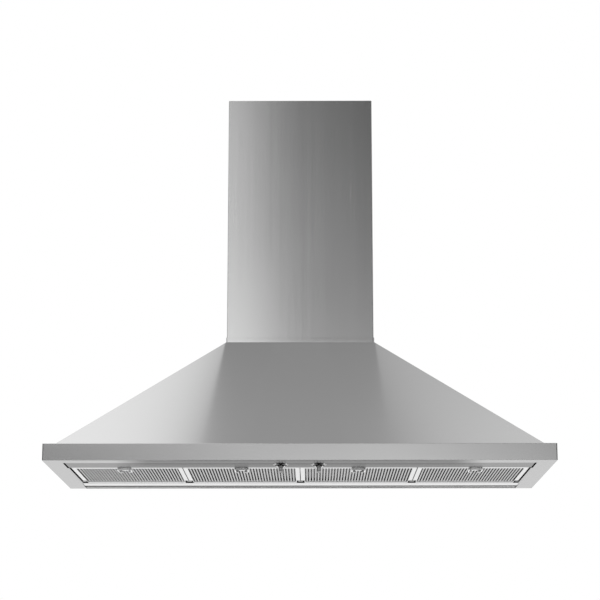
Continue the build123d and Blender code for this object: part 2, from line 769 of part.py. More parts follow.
def outlet_spigot():
    """The round collar that takes the duct, with the bores and the rim of the damper flaps."""
    plate_top = blower_top + spigot_plate
    top = plate_top + spigot_height
    lap_x = neck_half + spigot_lap
    lap_y = blower_depth / 2 + spigot_lap
    bore = duct_radius - spigot_wall
    spigot = block((-lap_x, lap_x), (-lap_y, lap_y), (blower_top, plate_top))
    spigot += rod_z(0, 0, (blower_top, top), duct_radius)
    spigot -= rod_z(0, 0, (blower_top - past, top + past), bore)
    rim_top = damper_z - damper_thick / 2 - touch
    rim = rod_z(0, 0, (rim_top - stop_height, rim_top), bore + spigot_wall / 2)
    rim -= rod_z(0, 0, (blower_top, top), bore - stop_width)
    rim -= block((-stop_break, stop_break), (-duct_radius, duct_radius), (blower_top, top))
    spigot += rim
    for x in (-damper_axis_x, damper_axis_x):
        spigot -= rod_y(x, (-duct_radius - past, duct_radius + past), damper_z, damper_pin + running_gap)
    return Pos(0, blower_y, 0) * spigot


def damper_flap(side):
    """Half a disc on its own pin; the pair lie closed and lift with the air."""
    rim = duct_radius - spigot_wall - damper_rim_gap
    flap = rod_z(0, 0, (damper_z - damper_thick / 2, damper_z + damper_thick / 2), rim)
    half_bore = block((damper_seam, duct_radius), (-duct_radius, duct_radius),
                      (blower_top, damper_z + duct_radius))
    flap &= half_bore
    reach = duct_radius - spigot_wall / 3
    flap += rod_y(damper_axis_x, (-reach, reach), damper_z, damper_pin)
    if side < 0:
        flap = mirror(flap, about=Plane.YZ)
    return Pos(0, blower_y, 0) * flap


# ---------------------------------------------------------------- electrics
def control_box():
    """A box on the back panel, open at the front, with four posts for its board."""
    box = block((box_left, box_right), (box_front, box_back), (box_bottom, box_top))
    box -= block((box_left + box_wall, box_right - box_wall), (box_front - past, box_back - box_wall),
                 (box_bottom + box_wall, box_top - box_wall))
    for x in (board_left() + board_margin, board_left() + board_width - board_margin):
        for z in (board_bottom() + board_margin, board_top() - board_margin):
            box += rod_y(x, (box_back - box_wall - board_post, box_back - box_wall / 2), z, screw_head_radius)
    box -= rod_z(gland_x, gland_y(), (box_top - 2 * box_wall, box_top + past), gland_radius - touch)
    return box


def gland_y():
    """The gland stands in the middle of the box's depth."""
    return (box_front + box_back) / 2


def board_left():
    return box_left + box_wall + 2 * touch


def board_bottom():
    return box_bottom + 2 * box_wall


def board_top():
    return box_top - box_wall - gland_height


def control_board():
    """The circuit board with three relays."""
    back = box_back - box_wall - board_post
    x = (board_left(), board_left() + board_width)
    z = (board_bottom(), board_top())
    board = block(x, (back - board_thick, back), z)
    for i in range(3):
        left = x[0] + board_margin + i * (relay_size[0] + board_margin / 2)
        board += block((left, left + relay_size[0]), (back - board_thick - relay_size[1], back),
                       (z[0] + board_margin, z[0] + board_margin + relay_size[2]))
    return board


def control_box_lid():
    return block((box_left, box_right), (box_front - lid_thick, box_front), (box_bottom, box_top))


def motor_capacitor():
    """Stands on the floor of the control box."""
    x = box_right - box_wall - capacitor_radius - touch
    y = box_back - box_wall - capacitor_radius - touch
    z = (box_bottom + box_wall, box_bottom + box_wall + capacitor_length)
    can = rod_z(x, y, z, capacitor_radius)
    return fillet(can.edges().filter_by(GeomType.CIRCLE).group_by(Axis.Z)[-1], motor_edge / 2)


def cable_gland():
    """The inlet for the mains cord, on top of the control box."""
    inside = rod_z(gland_x, gland_y(), (box_top - 2 * box_wall, box_top), gland_radius - 2 * touch)
    nose = rod_z(gland_x, gland_y(), (box_top, box_top + gland_height), gland_radius)
    seat = rod_z(gland_x, gland_y(), (box_top, box_top + gland_flange_height), gland_flange)
    bore = rod_z(gland_x, gland_y(), (box_bottom, box_top + gland_height + past), gland_bore)
    return inside + nose + seat - bore


# ---------------------------------------------------------------- all nodes
save("lip_frame", lip_frame())
save("canopy_shell", canopy_shell())
save("back_panel", back_panel())
save("collar_trim", collar_trim())
save("lower_chimney", lower_chimney())
save("upper_chimney", upper_chimney())
save("wall_bracket", wall_bracket())
save("upper_bracket", upper_bracket())

save("control_fascia", control_fascia())
save("rear_rail", rear_rail())
save("side_rail_left", side_rail(-1))
save("side_rail_right", side_rail(1))
for name, seam in zip(("left", "middle", "right"), seams):
    save(f"filter_divider_{name}", filter_divider(seam))
for number, (left, right, handle) in enumerate(zip(lefts, rights, handles), start=1):
    save(f"filter_frame_{number}", filter_frame(left, right))
    save(f"baffle_pack_{number}", baffle_pack(left, right, handle))
    save(f"filter_handle_{number}", filter_handle(handle))

for name, x in (("left", -knob_spacing / 2), ("right", knob_spacing / 2)):
    save(f"knob_{name}", knob(x))
    save(f"knob_bezel_{name}", knob_bezel(x))
    save(f"knob_spindle_{name}", knob_spindle(x))
    save(f"rotary_switch_{name}", rotary_switch(x))
save("switch_nuts", switch_nuts())

save("blower_housing", blower_housing())
save("inlet_ring_front", inlet_ring(blower_front, -1))
save("inlet_ring_rear", inlet_ring(blower_rear, 1))
save("impeller", impeller())
save("motor", motor())
save("motor_shaft", motor_shaft())
save("motor_spider", motor_spider())
save("blower_hanger_left", blower_hanger(-1))
save("blower_hanger_right", blower_hanger(1))
save("blower_screws", blower_screws())
save("outlet_spigot", outlet_spigot())
save("damper_flap_left", damper_flap(-1))
save("damper_flap_right", damper_flap(1))

save("control_box", control_box())
save("control_box_lid", control_box_lid())
save("control_board", control_board())
save("motor_capacitor", motor_capacitor())
save("cable_gland", cable_gland())
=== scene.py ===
# %% [markdown]
# A wall-mounted chimney range hood, dressed for its picture
#
# The hood's solids come packed from the CAD step, each one already in its place. This script keeps
# them, gives the pieces that show a finer shape, and puts brushed steel, polished steel, plastic and
# plain galvanised sheet on them. Lengths are in metres. X runs to the right seen from the front, the
# front faces -Y, and the origin lies on the wall plane at the middle of the hood's lower edge.

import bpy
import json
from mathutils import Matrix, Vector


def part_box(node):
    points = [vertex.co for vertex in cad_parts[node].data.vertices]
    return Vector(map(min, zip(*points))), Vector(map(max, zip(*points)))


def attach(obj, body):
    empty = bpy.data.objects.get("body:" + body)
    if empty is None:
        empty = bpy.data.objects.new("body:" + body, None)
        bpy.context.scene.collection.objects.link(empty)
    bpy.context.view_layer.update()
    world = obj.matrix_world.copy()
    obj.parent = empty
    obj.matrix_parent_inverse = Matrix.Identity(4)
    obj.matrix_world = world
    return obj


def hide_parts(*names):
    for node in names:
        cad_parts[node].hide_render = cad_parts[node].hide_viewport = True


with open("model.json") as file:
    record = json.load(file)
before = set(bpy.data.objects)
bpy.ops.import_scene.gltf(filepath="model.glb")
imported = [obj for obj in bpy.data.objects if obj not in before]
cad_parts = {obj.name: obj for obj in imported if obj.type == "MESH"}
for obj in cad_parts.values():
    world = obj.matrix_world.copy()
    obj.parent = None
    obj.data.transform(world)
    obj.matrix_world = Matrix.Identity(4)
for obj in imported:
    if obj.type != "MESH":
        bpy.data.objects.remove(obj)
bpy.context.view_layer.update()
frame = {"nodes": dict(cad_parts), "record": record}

# %% [markdown]
# Operators
#
# Blender's operators act on what is active, selected and open for editing, as a hand at the screen
# would. A few helpers set that state, so that each later step reads as one move: open a piece, choose
# its faces or edges by a rule, change them, and finish its edges.

# %% Choosing a piece and its faces or edges
import json
from math import cos, pi, radians, sin

import bpy
from mathutils import Matrix, Vector

MM = 0.001


def only(obj):
    """Leaves obj alone selected and active, so that an operator acts on nothing else."""
    if bpy.context.object and bpy.context.object.mode != "OBJECT":
        bpy.ops.object.mode_set(mode="OBJECT")
    bpy.ops.object.select_all(action="DESELECT")
    obj.select_set(True)
    bpy.context.view_layer.objects.active = obj
    return obj


def edit(obj, kind="FACE"):
    """Opens obj in edit mode with nothing selected."""
    only(obj)
    bpy.ops.object.mode_set(mode="EDIT")
    bpy.ops.mesh.select_mode(type=kind)
    bpy.ops.mesh.select_all(action="DESELECT")


def leave_edit():
    bpy.ops.object.mode_set(mode="OBJECT")


def pick(obj, chosen, kind="FACE"):
    """Selects the faces or edges of obj for which chosen(element, middle) is true."""
    bpy.ops.object.mode_set(mode="OBJECT")
    mesh = obj.data
    for items in (mesh.vertices, mesh.edges, mesh.polygons):
        items.foreach_set("select", [False] * len(items))
    if kind == "FACE":
        found = [f for f in mesh.polygons if chosen(f, f.center)]
    else:
        found = [e for e in mesh.edges
                 if chosen(e, (mesh.vertices[e.vertices[0]].co + mesh.vertices[e.vertices[1]].co) / 2)]
    for item in found:
        item.select = True
    bpy.ops.object.mode_set(mode="EDIT")
    return len(found)


print("selection helpers ready")


# %% Placing a piece and finishing its edges
def settle(obj):
    """Moves the object's own place and turn into its mesh, so that it sits at the origin."""
    only(obj)
    bpy.ops.object.transform_apply(location=True, rotation=True, scale=True)
    return obj


strongest = 100
usual_angle = 30


def finish_edges(obj, width=0.0, segments=2, angle=usual_angle, flat=False):
    """Rounds the sharp edges a little and shades the rest smooth.

    With flat, the large faces set the normals, so that a sheet mirrors its surroundings unbent."""
    only(obj)
    if width:
        bevel = obj.modifiers.new("edges", "BEVEL")
        bevel.width = width
        bevel.segments = segments
        bevel.limit_method = "ANGLE"
        bevel.angle_limit = radians(angle)
        bevel.use_clamp_overlap = True
        bpy.ops.object.modifier_apply(modifier=bevel.name)
    bpy.ops.object.shade_smooth_by_angle(angle=radians(angle))
    if flat:
        weighting = obj.modifiers.new("flats", "WEIGHTED_NORMAL")
        weighting.weight = strongest
        weighting.keep_sharp = True
        bpy.ops.object.modifier_apply(modifier=weighting.name)
    return obj


print("edge helpers ready")

# %% [markdown]
# Shader maths
#
# A material here is a small graph of nodes. One class wraps a socket, so that an expression such as
# `0.3 + 0.1 * grain` adds the Math nodes for it. Another makes any other node from its type, its
# settings and its inputs. Every pattern reads Object coordinates: the pieces sit at the origin, so
# those are places on the real hood, in metres.

# %% Socket arithmetic
class Value:
    """A socket that does arithmetic by adding Math nodes."""

    def __init__(self, maker, socket):
        self.maker = maker
        self.socket = socket

    def _with(self, operation, other, swapped=False):
        pair = (other, self) if swapped else (self, other)
        return self.maker.node("ShaderNodeMath", {"operation": operation}, {0: pair[0], 1: pair[1]})

    def __add__(self, other): return self._with("ADD", other)

    def __radd__(self, other): return self._with("ADD", other, True)

    def __sub__(self, other): return self._with("SUBTRACT", other)

    def __rsub__(self, other): return self._with("SUBTRACT", other, True)

    def __mul__(self, other): return self._with("MULTIPLY", other)

    def __rmul__(self, other): return self._with("MULTIPLY", other, True)

    def __truediv__(self, other): return self._with("DIVIDE", other)


print("sockets can be added and multiplied")


# %% A node maker
class Maker:
    """Adds nodes to one tree."""

    def __init__(self, tree):
        self.tree = tree

    def node(self, kind, settings=None, inputs=None, output=0):
        """One node of any type; inputs may be numbers, tuples or other nodes' values."""
        made = self.tree.nodes.new(kind)
        for name, value in (settings or {}).items():
            if name == "stops":
                ramp = made.color_ramp
                while len(ramp.elements) < len(value):
                    ramp.elements.new(1.0)
                for stop, (place, shade) in zip(ramp.elements, value):
                    stop.position = place
                    stop.color = (shade, shade, shade, 1.0)
            else:
                setattr(made, name, value)
        for name, value in (inputs or {}).items():
            if isinstance(value, Value):
                self.tree.links.new(value.socket, made.inputs[name])
            else:
                made.inputs[name].default_value = value
        return Value(self, made.outputs[output])

    def place(self, stretch=(1, 1, 1)):
        """Object coordinates, multiplied along each axis."""
        here = self.node("ShaderNodeTexCoord", output="Object")
        return self.node("ShaderNodeMapping", {"vector_type": "POINT"}, {"Vector": here, "Scale": stretch})

    def noise(self, stretch, detail=2.0, rough=0.5):
        """Noise between 0 and 1; stretch is in waves per metre along each axis."""
        return self.node("ShaderNodeTexNoise", {"noise_dimensions": "3D"},
                         {"Vector": self.place(stretch), "Scale": 1.0, "Detail": detail,
                          "Roughness": rough})

    def mix_colour(self, factor, first, second):
        return self.node("ShaderNodeMix", {"data_type": "RGBA"}, {0: factor, 6: first, 7: second},
                         output=2)


print("node maker ready")


# %% A material and its changing inputs
def shade(grey, warm=0.0):
    """A grey as a colour; warm tips it a little towards yellow."""
    return (grey + warm, grey, grey - warm, 1.0)


def new_material(name, metallic=0.0, coat=0.0, specular=0.5, grazing=1.0):
    """A Principled material and its maker; the constants go straight onto the shader's sockets."""
    material = bpy.data.materials.new(name)
    material.use_nodes = True
    shader = material.node_tree.nodes["Principled BSDF"]
    shader.inputs["Metallic"].default_value = metallic
    shader.inputs["Coat Weight"].default_value = coat
    shader.inputs["Coat Roughness"].default_value = 0.1
    shader.inputs["Specular IOR Level"].default_value = specular
    shader.inputs["Specular Tint"].default_value = shade(grazing)
    return material, Maker(material.node_tree), shader


def feed(maker, shader, colour=None, roughness=None, height=None, depth=0.0001):
    """Joins the finished colour, roughness and height to the shader."""
    links = maker.tree.links
    if colour is not None:
        links.new(colour.socket, shader.inputs["Base Color"])
    if roughness is not None:
        links.new(roughness.socket, shader.inputs["Roughness"])
    if height is not None:
        bump = maker.node("ShaderNodeBump", None, {"Height": height, "Distance": depth, "Strength": 1.0})
        links.new(bump.socket, shader.inputs["Normal"])


print("material helpers ready")

# %% [markdown]
# Brushed stainless sheet
#
# The canopy, lip and chimneys are sheet that went through a belt grinder, which leaves long fine
# scratches one way. Up close each scratch is a bump; from a few metres they melt into a soft sheen
# with faint streaks. So the grain is noise stretched hundreds of times longer than wide: a fine one
# for the scratches, and a broad weak one for the streaks that the eye still sees. It moves the
# roughness more than the colour, because a scratched metal scatters light and isn't painted.

# %% Brushed sheet, one material for each grain direction
scratches_across, scratches_along = 2600.0, 9.0
streaks_across, streaks_along = 90.0, 0.9
scratch_depth = 0.004 * MM
scratch_contrast, streak_contrast = 0.3, 14


def brushed(name, grey, rough, along, warm=0.0, spread=0.03, streak=0.02, grazing=1.0):
    """Brushed metal with its grain along X, Y or Z."""
    fine = [scratches_across] * 3
    broad = [streaks_across] * 3
    fine["XYZ".index(along)] = scratches_along
    broad["XYZ".index(along)] = streaks_along
    material, maker, shader = new_material(name, metallic=1.0, grazing=grazing)
    scratches = maker.noise(tuple(fine), detail=2.0)
    streaks = maker.noise(tuple(broad), detail=3.0, rough=0.6)
    smudge = maker.noise((3.1, 3.7, 2.9), detail=2.0)
    tone = 0.5 + (scratches - 0.5) * scratch_contrast + (streaks - 0.5) * (streak * streak_contrast)
    colour = maker.mix_colour(tone, shade(grey * 0.9, warm), shade(min(1.0, grey * 1.1), warm))
    roughness = rough + (scratches - 0.5) * spread + (streaks - 0.5) * spread + (smudge - 0.5) * spread
    feed(maker, shader, colour, roughness, scratches, depth=scratch_depth)
    return material


steel_grey = 0.62
canopy_steel = brushed("brushed_canopy_steel", steel_grey, 0.11, "X", streak=0.006)
lip_steel = brushed("brushed_lip_steel", 0.6, 0.19, "X", streak=0.006, grazing=0.77)
fascia_steel = brushed("brushed_fascia_steel", 0.53, 0.2, "X", streak=0.01, grazing=0.5)
chimney_steel = brushed("brushed_chimney_steel", steel_grey, 0.26, "Z")
rail_steel = brushed("satin_rail_steel", 0.76, 0.24, "X", streak=0.01)
baffle_steel = brushed("satin_baffle_steel", 0.68, 0.22, "Y", streak=0.01, grazing=0.72)
# A darker copy of the baffle steel: painted shade on the upper row's faces that look down into the slots.
upper_baffle_painted_shade = brushed("painted_shade_upper_baffles", 0.4, 0.45, "Y", grazing=0.8)
print("brushed steels:", canopy_steel.name, lip_steel.name, chimney_steel.name)

# %% [markdown]
# Polished, galvanised, painted and moulded finishes
#
# The handles and knobs are polished, with only faint smears. Inside, nobody polishes anything: the
# blower and its brackets are galvanised, with the large dull crystals of hot zinc, the motor has a
# slightly rippled enamel, and the boxes are textured plastic.

# %% Polished and galvanised
def polished(name, grey, rough):
    material, maker, shader = new_material(name, metallic=1.0)
    smear = maker.noise((60.0, 45.0, 70.0), detail=4.0, rough=0.6)
    hairline = maker.noise((900.0, 40.0, 900.0), detail=2.0)
    colour = maker.mix_colour(smear, shade(grey * 0.96), shade(min(1.0, grey * 1.04)))
    feed(maker, shader, colour, rough + (smear - 0.5) * 0.06, hairline, depth=0.000003)
    return material


def galvanised(name, grey):
    material, maker, shader = new_material(name, metallic=1.0)
    crystals = maker.node("ShaderNodeTexVoronoi", {"feature": "F1"},
                          {"Vector": maker.place((110.0, 110.0, 110.0)), "Scale": 1.0, "Randomness": 1.0},
                          output="Color")
    facet = maker.node("ShaderNodeSeparateColor", None, {"Color": crystals}, output="Red")
    cloud = maker.noise((14.0, 14.0, 14.0), detail=3.0)
    colour = maker.mix_colour(facet * 0.7 + cloud * 0.3, (grey * 0.84, grey * 0.86, grey * 0.88, 1.0),
                              (grey * 1.08, grey * 1.1, grey * 1.13, 1.0))
    feed(maker, shader, colour, 0.34 + facet * 0.16, facet, depth=0.00001)
    return material


print("polished and galvanised finishes ready")


# %% Painted and moulded
def painted(name, grey, rough, ripple=700.0):
    material, maker, shader = new_material(name, coat=0.2)
    peel = maker.noise((ripple, ripple, ripple), detail=1.0)
    dust = maker.noise((25.0, 25.0, 25.0), detail=4.0, rough=0.7)
    colour = maker.mix_colour(dust, shade(grey * 0.85), shade(grey * 1.3))
    feed(maker, shader, colour, rough + (dust - 0.5) * 0.12, peel, depth=0.00002)
    return material


def moulded(name, grey, rough):
    material, maker, shader = new_material(name)
    grit = maker.noise((1800.0, 1800.0, 1800.0), detail=2.0)
    wear = maker.noise((20.0, 20.0, 20.0), detail=3.0)
    colour = maker.mix_colour(wear, shade(grey * 0.8), shade(grey * 1.25))
    feed(maker, shader, colour, rough + (wear - 0.5) * 0.1, grit, depth=0.00004)
    return material


print("painted and moulded finishes ready")


# %% The circuit board, and one material of each kind
pin_grid, track_width = 2.54 * MM, 0.6 * MM


def circuit(name):
    """Solder mask with copper lines under it, on the grid of the pins."""
    material, maker, shader = new_material(name, coat=0.4)
    lines = maker.node("ShaderNodeTexBrick", None,
                       {"Vector": maker.place((1, 1, 1)), "Scale": 1.0, "Mortar Size": track_width,
                        "Brick Width": 5 * pin_grid, "Row Height": 2 * pin_grid,
                        "Color1": (0, 0, 0, 1), "Color2": (0.2, 0.2, 0.2, 1), "Mortar": (1, 1, 1, 1)})
    flecks = maker.noise((500.0, 500.0, 500.0), detail=2.0)
    track = maker.node("ShaderNodeSeparateColor", None, {"Color": lines}, output="Red")
    colour = maker.mix_colour(track * 0.6 + flecks * 0.2, (0.012, 0.09, 0.035, 1.0), (0.06, 0.3, 0.12, 1.0))
    feed(maker, shader, colour, 0.35 + flecks * 0.1, track, depth=0.00003)
    return material


handle_steel = polished("polished_handle_steel", 0.8, 0.12)
knob_steel = polished("polished_knob_steel", 0.78, 0.14)
# The black on the knobs' skirts and grip cheeks is a painted dark reflection of the room they face.
knob_painted_reflection = painted("knob_painted_dark_reflection", 0.012, 0.12)
zinc = galvanised("galvanised_sheet", 0.55)
bright_zinc = polished("zinc_plated_fasteners", 0.62, 0.3)
aluminium = brushed("mill_aluminium", 0.7, 0.36, "Y")
enamel = painted("black_motor_enamel", 0.035, 0.38)
plastic = moulded("black_moulded_plastic", 0.022, 0.5)
board_green = circuit("green_circuit_board")
print("finishes made:", len(bpy.data.materials))

# %% [markdown]
# Which finish goes where
#
# Nearly all that shows from outside is stainless. The sheet's finish differs from piece to piece: the
# chimney's grain runs upright and the canopy's and lip's runs across, the fascia is duller, and the
# filters' frames are the brightest. A piece that stands for a solid takes over its body and its slot.

# %% A table of finishes
finishes = {
    "lip_frame": lip_steel, "canopy_shell": canopy_steel, "back_panel": canopy_steel,
    "collar_trim": chimney_steel, "lower_chimney": chimney_steel, "upper_chimney": chimney_steel,
    "wall_bracket": zinc, "upper_bracket": zinc, "control_fascia": fascia_steel,
    "rear_rail": rail_steel, "side_rail_left": baffle_steel, "side_rail_right": baffle_steel,
    "filter_divider_left": baffle_steel, "filter_divider_middle": baffle_steel,
    "filter_divider_right": baffle_steel, "switch_nuts": bright_zinc,
    "blower_housing": zinc, "inlet_ring_front": zinc, "inlet_ring_rear": zinc, "motor": enamel,
    "motor_shaft": handle_steel, "motor_spider": zinc, "blower_hanger_left": zinc,
    "blower_hanger_right": zinc, "blower_screws": bright_zinc, "outlet_spigot": zinc,
    "impeller": aluminium, "damper_flap_left": aluminium, "damper_flap_right": aluminium,
    "control_box": plastic, "control_box_lid": plastic, "control_board": board_green,
    "motor_capacitor": aluminium, "cable_gland": plastic,
}
for side in ("left", "right"):
    finishes[f"knob_{side}"] = knob_steel
    finishes[f"knob_bezel_{side}"] = handle_steel
    finishes[f"knob_spindle_{side}"] = bright_zinc
    finishes[f"rotary_switch_{side}"] = plastic
for number in range(1, 5):
    finishes[f"filter_frame_{number}"] = rail_steel
    finishes[f"baffle_pack_{number}"] = baffle_steel
    finishes[f"filter_handle_{number}"] = handle_steel
print("finishes for", len(finishes), "nodes")

# %% Finishes on the solids, and a helper for the pieces that stand for them
body_of = {node: body for body, nodes in frame["record"]["behaviour"]["bodies"].items() for node in nodes}
for name, node in frame["nodes"].items():
    node.data.materials.clear()
    node.data.materials.append(finishes[name])


def dress(piece, node, material=None):
    """Lets a finished piece stand for a CAD node: same body, same slot, its finish."""
    piece.data.materials.clear()
    piece.data.materials.append(material or finishes[node])
    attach(piece, body_of[node])
    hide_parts(node)
    return piece


# %% [markdown]
# Folded edges
#
# A CAD solid arrives as loose triangles with knife-sharp edges, and bent sheet has none: each fold
# and each cut rim has a small radius that catches the light as a thin bright line. So each node that
# shows gets a copy. Its triangles are merged, its flat faces are joined into whole ones, and the
# Bevel modifier rounds what is still sharp. A Weighted Normal modifier then keeps the large faces
# flat to the light, because smooth shading across a bevel would bend a mirror as wide as the canopy.
# A hand-made piece could do the same, but the solid already has every hole in its place.

# %% Copies with softened edges
def softened(node, width, segments=2, angle=25, flat=False, fold=None):
    """A copy of a node with merged vertices, joined flat faces and rounded edges.

    A fold is a radius, a number of segments and a rule that chooses the edges to round that far."""
    copy = bpy.data.objects.new(f"{node}_formed", frame["nodes"][node].data.copy())
    bpy.context.scene.collection.objects.link(copy)
    edit(copy, "VERT")
    bpy.ops.mesh.select_all(action="SELECT")
    bpy.ops.mesh.remove_doubles(threshold=0.000002)
    bpy.ops.mesh.dissolve_limited(angle_limit=radians(0.4))
    if fold:
        radius, steps, chosen = fold
        pick(copy, chosen, "EDGE")
        bpy.ops.mesh.bevel(offset=radius, segments=steps, affect="EDGES")
    leave_edit()
    finish_edges(copy, width, segments, angle, flat)
    return dress(copy, node)


sheet_nodes = ["lip_frame", "canopy_shell", "back_panel", "collar_trim", "lower_chimney", "upper_chimney",
               "wall_bracket", "upper_bracket", "control_fascia", "rear_rail", "side_rail_left",
               "side_rail_right", "filter_divider_left", "filter_divider_middle", "filter_divider_right",
               "blower_hanger_left", "blower_hanger_right"]
lip_low, lip_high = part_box("lip_frame")
corner_x, corner_y = lip_high.x, lip_low.y
near = 0.3 * MM
sheet_edge = 0.3 * MM
sheet_angle = 31
corner_fold = (3.0 * MM, 8)


def lip_corner(edge, middle):
    """True for the upright edges at the lip's two front corners."""
    return abs(abs(middle.x) - corner_x) < near and abs(middle.y - corner_y) < near


for name in sheet_nodes:
    fold = (*corner_fold, lip_corner) if name == "lip_frame" else None
    piece = softened(name, sheet_edge, angle=sheet_angle, flat=True, fold=fold)
    print(name, len(piece.data.polygons), "faces")

# %% [markdown]
# Behind the filters
#
# The rear rail reaches forward behind each divider in a short ear. Its tip is black moulded plastic,
# painted shadow for the dark notch it sits in. The back panel's foot lies a little behind the rail, and
# the gap between them shows as a thin dark line, so the foot's front edge is drawn back.

# %% Ear tips in painted shadow, and a gap behind the rail
rail_copy = bpy.data.objects["rear_rail_formed"]
rail_copy.data.materials.append(plastic)
painted_shade_ear_tip = -93 * MM
# Faces ahead of the ear tip take black plastic: painted shadow for the notch.
for face in rail_copy.data.polygons:
    face.material_index = int(face.center.y < painted_shade_ear_tip)
print("ear faces in plastic:", sum(face.material_index for face in rail_copy.data.polygons))

panel_copy = bpy.data.objects["back_panel_formed"]
edit(panel_copy, "VERT")
foot_front = -29 * MM
foot_gap = 10.0 * MM
chosen_edges = pick(panel_copy, lambda edge, middle: middle.y < foot_front, "EDGE")
bpy.ops.transform.translate(value=(0, foot_gap, 0))
leave_edit()
print("foot edges drawn back:", chosen_edges)

# %% [markdown]
# Turned, cast and moulded pieces
#
# These have no folds, so a deburred edge is enough: one narrow facet. The rings round the knobs have a
# wider chamfer below, which catches the light at its two ends. The filters' frames are rolled, and get
# three facets to a corner.

# %% Narrow edges for the round pieces and rolled ones for the filters
round_nodes = ["blower_housing", "inlet_ring_front", "inlet_ring_rear", "motor", "motor_shaft",
               "motor_spider", "outlet_spigot", "damper_flap_left", "damper_flap_right", "impeller",
               "blower_screws", "switch_nuts", "cable_gland", "motor_capacitor", "control_box",
               "control_box_lid", "control_board", "rotary_switch_left", "rotary_switch_right",
               "knob_bezel_left", "knob_bezel_right", "knob_spindle_left", "knob_spindle_right"]
ring_low, ring_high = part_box("knob_bezel_right")
ring_middle = (ring_low + ring_high) / 2
rim_inside = 17.0 * MM
rim_height = ring_low.z + 0.1 * MM
rim_chamfer = (1.6 * MM, 1)


def bezel_rim(edge, middle):
    """True for the lower outer edge of either knob's ring."""
    off_x = abs(middle.x) - ring_middle.x
    off_y = middle.y - ring_middle.y
    return middle.z < rim_height and (off_x ** 2 + off_y ** 2) ** 0.5 > rim_inside


deburred = 0.15 * MM
round_angle = 32
rolled = 0.6 * MM
for name in round_nodes:
    rim = (*rim_chamfer, bezel_rim) if name.startswith("knob_bezel") else None
    softened(name, deburred, segments=1, angle=round_angle, fold=rim)
for number in range(1, 5):
    softened(f"filter_handle_{number}", 0.0)
    softened(f"filter_frame_{number}", rolled, segments=3, flat=True)
print("round pieces:", len(round_nodes))

# %% [markdown]
# Baffles
#
# Each filter holds two rows of pressed channels. Seen from below the lower row is a set of round
# backs with dark slots between them, and the upper row closes those slots against flame. The solid
# has flat bars there, so the channels are new: one is a primitive cube, cut to length, its lower
# edges beveled round and its back opened. Each row's channel is modelled once, every filter gets a
# copy of it, and an Array repeats that copy across the filter.

# %% One channel of each row
slat_end = 5.0 * MM
lower_width, lower_height, lower_wall = 4.2 * MM, 2.4 * MM, 0.5 * MM
upper_width, upper_height, upper_wall = 5.0 * MM, 3.4 * MM, 0.6 * MM
back_rounding = 0.42
pack_low, pack_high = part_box("baffle_pack_1")
channel_length = pack_high.y - pack_low.y - slat_end


def channel(width, height, wall, turned):
    """A U channel along Y, its round back down (or up when turned), at the origin."""
    bpy.ops.mesh.primitive_cube_add(size=1, location=(0, 0, 0))
    piece = bpy.context.object
    piece.scale = (width, channel_length, height)
    settle(piece)
    edit(piece)
    pick(piece, lambda face, middle: face.normal.z > 0.9)
    bpy.ops.mesh.delete(type="FACE")
    pick(piece, lambda edge, middle: middle.z < 0 and abs(middle.y) < channel_length * 0.1, "EDGE")
    bpy.ops.mesh.bevel(offset=width * back_rounding, offset_type="OFFSET", segments=4, affect="EDGES")
    pick(piece, lambda face, middle: abs(face.normal.y) > 0.9)
    bpy.ops.mesh.delete(type="FACE")
    leave_edit()
    thick = piece.modifiers.new("wall", "SOLIDIFY")
    thick.thickness = wall
    thick.offset = -1
    only(piece)
    bpy.ops.object.modifier_apply(modifier=thick.name)
    if turned:
        piece.rotation_euler = (pi, 0, 0)
        settle(piece)
    return piece


lower_channel = channel(lower_width, lower_height, lower_wall, turned=False)
upper_channel = channel(upper_width, upper_height, upper_wall, turned=True)
print("one channel has", len(lower_channel.data.polygons), "faces")


# %% Copies, joins, and a row of channels
slat_pitch = 7.1 * MM


def copy_of(model, place=(0, 0, 0)):
    """A copy of a model with a mesh of its own, moved to its place."""
    piece = model.copy()
    piece.data = model.data.copy()
    bpy.context.scene.collection.objects.link(piece)
    piece.location = place
    return settle(piece)


def join(parts):
    """Makes one piece of several, which keeps the first one's name."""
    only(parts[0])
    for part in parts[1:]:
        part.select_set(True)
    bpy.ops.object.join()
    return parts[0]


def row_of_channels(model, first, count, middle_y, z):
    """Repeats a copy of a channel along X from its first place."""
    row = copy_of(model)
    array = row.modifiers.new("row", "ARRAY")
    array.count = count
    array.use_relative_offset = False
    array.use_constant_offset = True
    array.constant_offset_displace = (slat_pitch, 0, 0)
    bpy.ops.object.modifier_apply(modifier=array.name)
    row.location = (first, middle_y, z)
    return settle(row)


print("channels stand", round(slat_pitch / MM, 1), "mm apart")


# %% The lugs that a handle turns in, and the plate that carries them
lug_spacing, lug_height, lug_edge = 20.0 * MM, -0.8 * MM, 0.8 * MM
lug_size = (4.0 * MM, 8.6 * MM, 7.0 * MM)
plate_height, plate_edge = 2.1 * MM, 0.3 * MM
plate_size = (26.0 * MM, 11.0 * MM, 1.0 * MM)


def block(size, place, edge, segments=2):
    """A cube of a size at a place, its edges rounded."""
    bpy.ops.mesh.primitive_cube_add(size=1, location=place)
    piece = bpy.context.object
    piece.scale = size
    settle(piece)
    return finish_edges(piece, edge, segments)


left_lug = block(lug_size, (-lug_spacing / 2, 0, lug_height), lug_edge, segments=3)
right_lug = copy_of(left_lug, (lug_spacing, 0, 0))
plate = block(plate_size, (0, 0, plate_height), plate_edge)
handle_mount = join([left_lug, right_lug, plate])
print("handle mount", len(handle_mount.data.polygons), "faces")

# %% Both rows of a filter
pack_depth = 9.0 * MM
strip_lift, strip_edge = 1.0 * MM, 0.4 * MM
pivot_inset = 2.2 * MM
mount_top, mount_reach = 1.9 * MM, 14.0 * MM
smooth_below = 35


